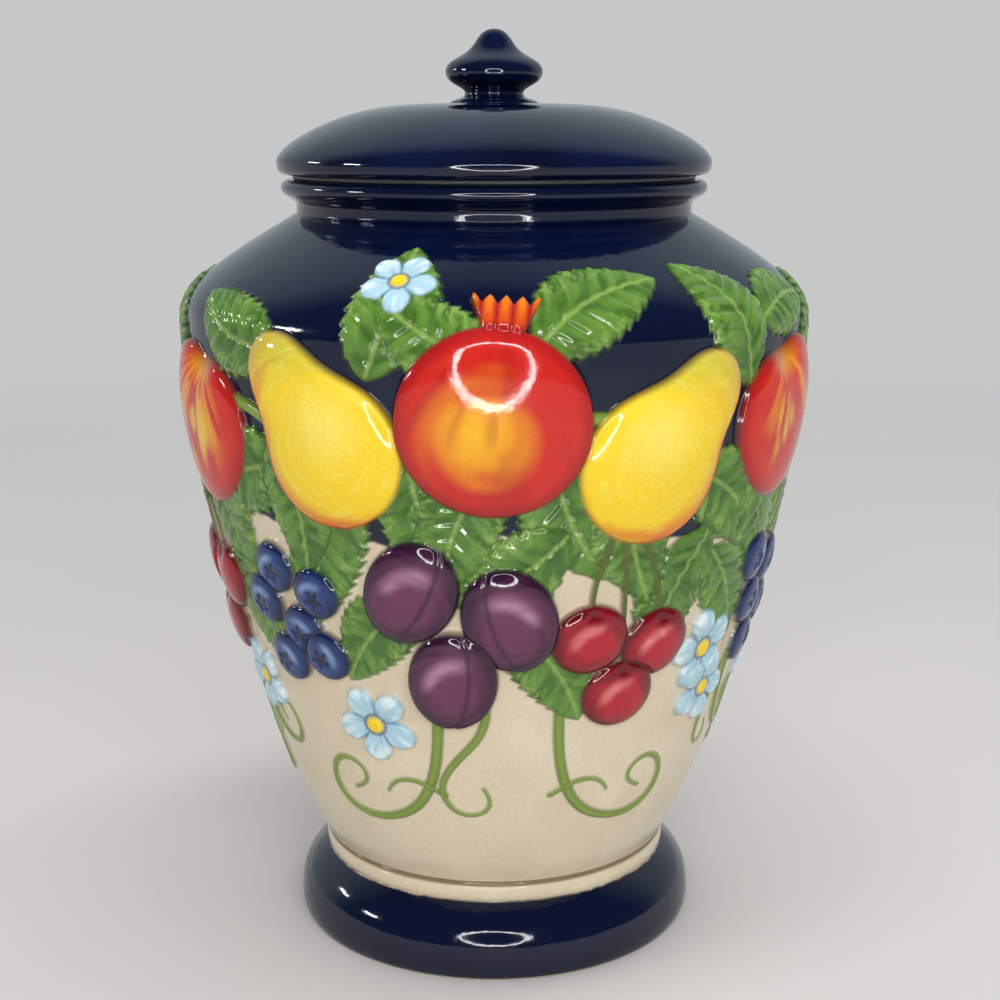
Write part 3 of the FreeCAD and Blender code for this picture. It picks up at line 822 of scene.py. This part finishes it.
# Where the garland's forms sit: a bearing in degrees from the front towards +x and a share of the way up
# the wall, 0 at the heel, 1 at the shoulder and 2 at the neck. A lean in degrees and a size may follow.
SCROLLS = [(-30, 0.27, -1), (32, 0.27, 1), (-84, 0.26, 1)]
LEAVES = [
    (-50, 1.14, -70, 1.05, True), (-19, 1.40, 8, 1.12, False), (18, 1.32, 62, 1.1, True),
    (43, 1.21, -24, 1.1, False), (-10, 1.21, -62, 0.95, True), (64, 1.21, 84, 0.95, True),
    (80, 0.99, 30, 1.1, False), (-80, 0.99, -36, 1.1, True), (90, 0.87, 176, 1.15, False),
    (-49, 0.80, -112, 1.15, False), (-15, 0.80, 176, 1.1, True), (15, 0.79, 156, 1.15, False),
    (46, 0.77, 128, 1.15, True), (-30, 0.71, -158, 1.15, False), (2, 0.71, -120, 1, True),
    (37, 0.64, -158, 1.1, False), (56, 0.72, 176, 1.1, True), (76, 0.75, 140, 1.1, False),
    (-60, 0.73, 150, 1.1, True), (-80, 0.75, -150, 1.15, False), (-88, 0.60, 170, 1, True),
    (-22, 0.58, -140, 0.95, False), (10, 0.53, 146, 1, True), (-56, 0.59, 150, 1, True),
    (84, 0.58, -160, 1, False), (50, 0.62, 150, 1, True), (-4, 0.77, -158, 1.05, False),
    (27, 0.75, 168, 1.1, False), (-38, 0.78, 172, 1.05, True)]
CHERRY_STEM_ROOTS = [(25, 0.70), (-73, 0.75)]
CHERRIES = [(18.5, 0.59), (33, 0.57), (26, 0.48), (-77, 0.64), (-66, 0.63), (-72, 0.54)]
BERRIES = [
    (-45, 0.68), (-35, 0.65), (-50, 0.62), (-40, 0.58), (-46, 0.52), (-35, 0.54),
    (61, 0.67), (71, 0.65), (64, 0.59), (73, 0.57), (67, 0.51)]
BLOSSOMS = [
    (-17, 1.55, 10, 0.85), (48, 0.53, 40, 1.05), (52, 0.44, 5, 0.95),
    (-26, 0.41, 22, 1.0), (84, 0.45, 0, 1.0), (-62, 0.44, 30, 0.95)]


def paint_garland(wall):
    """A fruit garland of the traditional kind, in raised work, over the navy and the cream."""
    # The branch that carries everything, and the scrolls under it
    wall.ribbon(0, 0.83, [(-140, 4), (-106, 20), (-66, 22), (-30, -14), (2, 10), (34, 24), (70, -14),
                          (106, -12), (140, 4)], 3.6, 3.6, rise=1.3)
    for bearing, up, side in SCROLLS:
        wall.ribbon(bearing, up, [(-24 * side, 30), (-22 * side, -2), (-2 * side, -18), (15 * side, -11),
                                  (15 * side, 4), (4 * side, 7), (0, -2), (7 * side, -5)], 3.2, 1.3)
        wall.ribbon(bearing - 8 * side, up - 0.05, [(-12 * side, 4), (-4 * side, 10), (2 * side, 9),
                                                    (5 * side, 3)], 2.2, 1.0)
    for bearing in (68, -62):
        wall.ribbon(bearing, 0.32, [(-4, 34), (-9, 10), (4, -8), (15, 2), (8, 14), (0, 8), (4, 3)], 2.8, 1.1)
        wall.ribbon(bearing, 0.32, [(-4, 34), (-12, 14), (-16, 2), (-10, -8), (-4, -3), (-8, 2)], 2.4, 1.0)
    wall.ribbon(-4, 0.35, [(0, 34), (7, 12), (-5, 0), (-12, -12), (-4, -24), (6, -18), (2, -11)], 2.8, 1.1)
    # Leaves and cherry stems, which start behind the fruit
    for bearing, up, lean, scale, flip in LEAVES:
        wall.stamp(leaf, bearing, up, lean, scale, 0.0, flip, seed=int(300 + bearing))
    for poles in ([(-4, 16), (-8, 6), (-11, -6), (-9, -14)], [(-4, 16), (5, 8), (11, -6), (10, -16)],
                  [(-4, 16), (-1, 2), (0, -14), (1, -30)]):
        for bearing, up in CHERRY_STEM_ROOTS:
            wall.ribbon(bearing, up, poles, 1.9, 1.6, VINE_DARK, BROWN, 1.2, 0.9)
    # Big fruit on the navy
    wall.stamp(apple, 62, 0.89, -14, 1.1, 0.9, seed=31)
    wall.stamp(apple, -63, 0.88, 16, 1.1, 0.9, True, seed=35)
    wall.stamp(pear, -31, 0.90, -34, 1.12, 1.1, True, seed=32)
    wall.stamp(pear, 31, 0.88, 38, 1.14, 1.1, seed=33)
    wall.stamp(pomegranate, 0, 0.91, 6, 1.1, 1.5, seed=34)
    # Small fruit that hangs over the cream
    for bearing, up in CHERRIES:
        wall.stamp(cherry, bearing, up, 0, 1.2, 0.95, seed=int(80 + bearing))
    wall.stamp(plum, -15, 0.67, 28, 1.1, 1.0, seed=44)
    wall.stamp(plum, 3, 0.63, -18, 1.1, 1.3, True, seed=45)
    wall.stamp(plum, -8, 0.52, 6, 1.05, 1.6, seed=46)
    for count, (bearing, up) in enumerate(BERRIES):
        wall.stamp(blue_berry, bearing, up, 20 * count, 1.12, 1.2, seed=50 + count)
    for bearing, up, lean, scale in BLOSSOMS:
        wall.stamp(blossom, bearing, up, lean, scale, 0.6, seed=int(160 + bearing))


def link(tree, start, end):
    """Join two sockets."""
    tree.links.new(start, end)


def shader(name):
    """A new node material, with its tree and its surface shader."""
    material = bpy.data.materials.new(name)
    material.use_nodes = True
    tree = material.node_tree
    surface = next(node for node in tree.nodes if node.type == "BSDF_PRINCIPLED")
    return material, tree, surface


def lumps(tree, scale, detail):
    """A noise texture in the object's own metres."""
    texture = tree.nodes.new("ShaderNodeTexNoise")
    texture.inputs["Scale"].default_value = scale
    texture.inputs["Detail"].default_value = detail
    place = tree.nodes.new("ShaderNodeTexCoord")
    link(tree, place.outputs["Object"], texture.inputs["Vector"])
    return texture.outputs["Fac"]


def spread(tree, value, low, high, out_low, out_high):
    """Map a value from one range to another."""
    node = tree.nodes.new("ShaderNodeMapRange")
    node.inputs["From Min"].default_value = low
    node.inputs["From Max"].default_value = high
    node.inputs["To Min"].default_value = out_low
    node.inputs["To Max"].default_value = out_high
    link(tree, value, node.inputs["Value"])
    return node.outputs["Result"]


def mixed(tree, share, first, second, mode="MIX"):
    """Mix two colours; each is a socket or a plain colour."""
    node = tree.nodes.new("ShaderNodeMix")
    node.data_type = "RGBA"
    node.blend_type = mode
    for socket, value in ((node.inputs[0], share), (node.inputs[6], first), (node.inputs[7], second)):
        if isinstance(value, bpy.types.NodeSocket):
            link(tree, value, socket)
        elif isinstance(value, (int, float)):
            socket.default_value = value
        else:
            socket.default_value = (*value, 1.0)
    return node.outputs[2]


def bumped(tree, surface, height, distance):
    """Give the surface a fine relief from a height value."""
    node = tree.nodes.new("ShaderNodeBump")
    node.inputs["Distance"].default_value = distance
    node.inputs["Strength"].default_value = 1.0
    link(tree, height, node.inputs["Height"])
    link(tree, node.outputs["Normal"], surface.inputs["Normal"])


def combined(tree, operation, first, second):
    """Two values added, multiplied or compared."""
    node = tree.nodes.new("ShaderNodeMath")
    node.operation = operation
    link(tree, first, node.inputs[0])
    link(tree, second, node.inputs[1])
    return node.outputs[0]


def moved(tree, operation, place, by):
    """A place shifted or scaled by a plain vector."""
    node = tree.nodes.new("ShaderNodeVectorMath")
    node.operation = operation
    node.inputs[1].default_value = by
    link(tree, place, node.inputs[0])
    return node.outputs["Vector"]


def distance_to(tree, place):
    """How far a place is from its origin."""
    node = tree.nodes.new("ShaderNodeVectorMath")
    node.operation = "LENGTH"
    link(tree, place, node.inputs[0])
    return node.outputs["Value"]


def stored(tree, name):
    """Values kept on the mesh under a name."""
    node = tree.nodes.new("ShaderNodeAttribute")
    node.attribute_name = name
    return node


def ripples(tree, surface, scale, depth):
    """The slow waves and fine orange peel of a fired glaze."""
    peel = spread(tree, lumps(tree, 420.0, 2.0), 0.0, 1.0, 0.0, 0.10)
    bumped(tree, surface, combined(tree, "ADD", lumps(tree, scale, 2.0), peel), depth)


def painted_glaze():
    """Hand-painted colours under a clear gloss glaze, and dry clay where the foot was wiped."""
    material, tree, surface = shader("painted_glaze")
    brushed = spread(tree, lumps(tree, 900.0, 3.0), 0.35, 0.65, 0.0, 0.07)
    colour = mixed(tree, brushed, stored(tree, "paint").outputs["Color"], (0.0, 0.0, 0.0), "MULTIPLY")
    cloudy = spread(tree, lumps(tree, 55.0, 2.0), 0.35, 0.65, 0.0, 0.10)
    colour = mixed(tree, cloudy, colour, (0.62, 0.56, 0.45), "MULTIPLY")
    link(tree, colour, surface.inputs["Base Color"])
    rough = tree.nodes.new("ShaderNodeMix")
    link(tree, stored(tree, "bare").outputs["Fac"], rough.inputs[0])
    link(tree, spread(tree, lumps(tree, 240.0, 3.0), 0.3, 0.7, 0.055, 0.11), rough.inputs[2])
    rough.inputs[3].default_value = 0.8
    link(tree, rough.outputs[0], surface.inputs["Roughness"])
    surface.inputs["IOR"].default_value = 1.5
    ripples(tree, surface, 38.0, 0.00035)
    return material


def navy_glaze():
    """Deep navy gloss glaze, pooled darker in places."""
    material, tree, surface = shader("navy_glaze")
    cloudy = spread(tree, lumps(tree, 42.0, 3.0), 0.3, 0.7, 0.0, 1.0)
    colour = mixed(tree, cloudy, tuple(NAVY), tuple(NAVY_DEEP))
    speck = spread(tree, lumps(tree, 1400.0, 2.0), 0.62, 0.72, 0.0, 0.25)
    colour = mixed(tree, speck, colour, tuple(NAVY * 2.2))
    link(tree, colour, surface.inputs["Base Color"])
    glossy = spread(tree, lumps(tree, 220.0, 3.0), 0.3, 0.7, 0.045, 0.10)
    link(tree, glossy, surface.inputs["Roughness"])
    surface.inputs["IOR"].default_value = 1.5
    ripples(tree, surface, 34.0, 0.0003)
    return material


def silicone():
    """Milky sealing ring with a faint moulded grain."""
    material, tree, surface = shader("milky_silicone")
    cloudy = spread(tree, lumps(tree, 90.0, 2.0), 0.3, 0.7, 0.0, 1.0)
    colour = mixed(tree, cloudy, tuple(SILICONE), tuple(SILICONE * 1.25))
    link(tree, colour, surface.inputs["Base Color"])
    grain = lumps(tree, 2600.0, 2.0)
    link(tree, spread(tree, grain, 0.3, 0.7, 0.32, 0.48), surface.inputs["Roughness"])
    surface.inputs["Subsurface Weight"].default_value = 0.25
    surface.inputs["Subsurface Scale"].default_value = 0.002
    bumped(tree, surface, grain, 0.00004)
    return material


def keep_colours(piece, name, colours):
    """Store one colour for each point of the rows and columns, and for the two points on the axis."""
    flat = colours.reshape(-1, 3)
    full = np.ones((len(flat) + 2, 4), np.float32)
    full[:, :3] = np.concatenate([flat, flat[:1], flat[-JAR_COLUMNS:][:1]])
    layer = piece.data.attributes.new(name, "FLOAT_COLOR", "POINT")
    layer.data.foreach_set("color", full.ravel())


def keep_numbers(piece, name, numbers):
    """Store one number for each point of the rows and columns, and for the two points on the axis."""
    flat = numbers.ravel()
    full = np.concatenate([flat, flat[:1], flat[-JAR_COLUMNS:][:1]])
    layer = piece.data.attributes.new(name, "FLOAT", "POINT")
    layer.data.foreach_set("value", full.astype(np.float32))


def make_jar():
    """The decorated vessel."""
    points = jar_outline()
    wall = Wall(points, JAR_COLUMNS)
    paint_ground(wall)
    paint_garland(wall)
    jar = lathe("painted_jar", points, JAR_COLUMNS, wall.relief)
    keep_colours(jar, "paint", wall.paint)
    keep_numbers(jar, "bare", wall.bare)
    jar.data.materials.append(painted_glaze())
    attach(jar, "jar")
    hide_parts("jar_body")


def make_lid():
    """The lid, its knob and the ring that seals it, all riding on the lid's body."""
    glaze = navy_glaze()
    lid = lathe("domed_lid", lid_outline()[::-1], LID_COLUMNS)
    knob = lathe("finial", knob_outline(), LID_COLUMNS)
    ring = lathe("sealing_ring", seal_outline(), LID_COLUMNS, loop=True)
    for piece, material, node, slot in ((lid, glaze, "lid", "lid_glaze"),
                                        (knob, glaze, "lid_knob", "lid_glaze"),
                                        (ring, silicone(), "seal_ring", "seal_silicone")):
        piece.data.materials.append(material)
        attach(piece, "lid_assembly")
        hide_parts(node)


def pale_floor():
    """A pale studio floor that runs into the room's own colour far from the jar."""
    material, tree, surface = shader("pale_floor")
    cloudy = spread(tree, lumps(tree, 3.0, 3.0), 0.3, 0.7, 0.0, 1.0)
    tone = mixed(tree, cloudy, tuple(FLOOR_TONE), tuple(FLOOR_TONE * 0.96))
    link(tree, tone, surface.inputs["Base Color"])
    surface.inputs["Roughness"].default_value = 0.9
    surface.inputs["Specular IOR Level"].default_value = 0.0
    place = tree.nodes.new("ShaderNodeTexCoord")
    far = spread(tree, distance_to(tree, place.outputs["Object"]), *FLOOR_FADE, 0.0, 1.0)
    rays = tree.nodes.new("ShaderNodeLightPath")
    seen = combined(tree, "MAXIMUM", rays.outputs["Is Camera Ray"], rays.outputs["Is Glossy Ray"])
    glow = tree.nodes.new("ShaderNodeEmission")
    glow.inputs["Color"].default_value = (*ROOM_TONE, 1.0)
    join = tree.nodes.new("ShaderNodeMixShader")
    link(tree, combined(tree, "MULTIPLY", far, seen), join.inputs[0])
    link(tree, surface.outputs[0], join.inputs[1])
    link(tree, glow.outputs[0], join.inputs[2])
    output = next(node for node in tree.nodes if node.type == "OUTPUT_MATERIAL")
    link(tree, join.outputs[0], output.inputs["Surface"])
    return material


def make_floor():
    """A plain pale floor."""
    mesh = bpy.data.meshes.new("floor")
    corners = [(-1, -1), (1, -1), (1, 1), (-1, 1)]
    mesh.from_pydata([(x * FLOOR_HALF, y * FLOOR_HALF, 0) for x, y in corners], [], [(0, 1, 2, 3)])
    floor = bpy.data.objects.new("floor", mesh)
    bpy.context.scene.collection.objects.link(floor)
    floor.data.materials.append(pale_floor())


def area_light(name, place, target, size, power, shape="RECTANGLE", size_y=None):
    """A soft lamp at a place, facing a target."""
    data = bpy.data.lights.new(name, "AREA")
    data.shape = shape
    data.size = size
    if size_y is not None:
        data.size_y = size_y
    data.energy = power
    lamp = bpy.data.objects.new(name, data)
    bpy.context.scene.collection.objects.link(lamp)
    lamp.location = place
    lamp.rotation_euler = (Vector(target) - Vector(place)).to_track_quat("-Z", "Y").to_euler()
    return lamp


def ring_lamp():
    """A ring-shaped lamp in front, which leaves a ring in the glaze and adds little light."""
    lamp = area_light("ring_lamp", (0.0, -0.54, 0.25), (0, 0, 0.15), 0.40, 2.2, shape="DISK")
    lamp.visible_diffuse = False
    lamp.data.use_nodes = True
    tree = lamp.data.node_tree
    place = tree.nodes.new("ShaderNodeTexCoord")
    from_middle = moved(tree, "SUBTRACT", place.outputs["UV"], (0.5, 0.5, 0.0))
    out = distance_to(tree, moved(tree, "MULTIPLY", from_middle, (1.0, 1.0, 0.0)))
    emission = next(node for node in tree.nodes if node.type == "EMISSION")
    link(tree, spread(tree, out, 0.43, 0.44, 0.0, 4.0), emission.inputs["Strength"])


def make_light():
    """Soft studio light at a plain level, small lamps that glint in the glaze, and a pale room."""
    for name, place, size, power in (("top_light", (0.1, -0.2, 1.3), 1.2, 6.0),
                                     ("front_light", (0.15, -1.4, 0.8), 1.2, 12.0)):
        area_light(name, place, (0, 0, 0.12), size, power).visible_glossy = False
    for name, place, size, size_y, power in (("side_glint", (-1.22, -0.29, 0.52), 0.22, 0.07, 2.6),
                                             ("rear_glint", (-1.06, 0.30, 0.50), 0.16, 0.05, 0.9)):
        area_light(name, place, (0, 0, 0.2), size, power, size_y=size_y).visible_diffuse = False
    ring_lamp()
    world = bpy.data.worlds.new("room")
    bpy.context.scene.world = world
    world.use_nodes = True
    tree = world.node_tree
    background = next(node for node in tree.nodes if node.type == "BACKGROUND")
    place = tree.nodes.new("ShaderNodeTexCoord")
    split = tree.nodes.new("ShaderNodeSeparateXYZ")
    link(tree, place.outputs["Generated"], split.inputs[0])
    beyond = spread(tree, split.outputs["Y"], 0.05, 0.42, 0.0, 1.0)
    walls = mixed(tree, beyond, (0.07, 0.07, 0.08), (0.46, 0.52, 0.54))
    rays = tree.nodes.new("ShaderNodeLightPath")
    room = mixed(tree, rays.outputs["Is Glossy Ray"], (0.66, 0.66, 0.66), walls)
    seen = mixed(tree, rays.outputs["Is Camera Ray"], room, tuple(ROOM_TONE))
    link(tree, seen, background.inputs["Color"])
    background.inputs["Strength"].default_value = 1.0


def make_camera():
    """The photograph's view: a little above the rim, looking down at the jar."""
    data = bpy.data.cameras.new("camera")
    data.lens = CAMERA_LENS
    data.sensor_width = CAMERA_SENSOR
    camera = bpy.data.objects.new("camera", data)
    bpy.context.scene.collection.objects.link(camera)
    camera.location = CAMERA_PLACE
    camera.rotation_euler = (math.radians(90 - CAMERA_DIP), 0.0, 0.0)
    bpy.context.scene.camera = camera


make_jar()
make_lid()
make_floor()
make_light()
make_camera()
bpy.context.scene.view_settings.view_transform = "Standard"
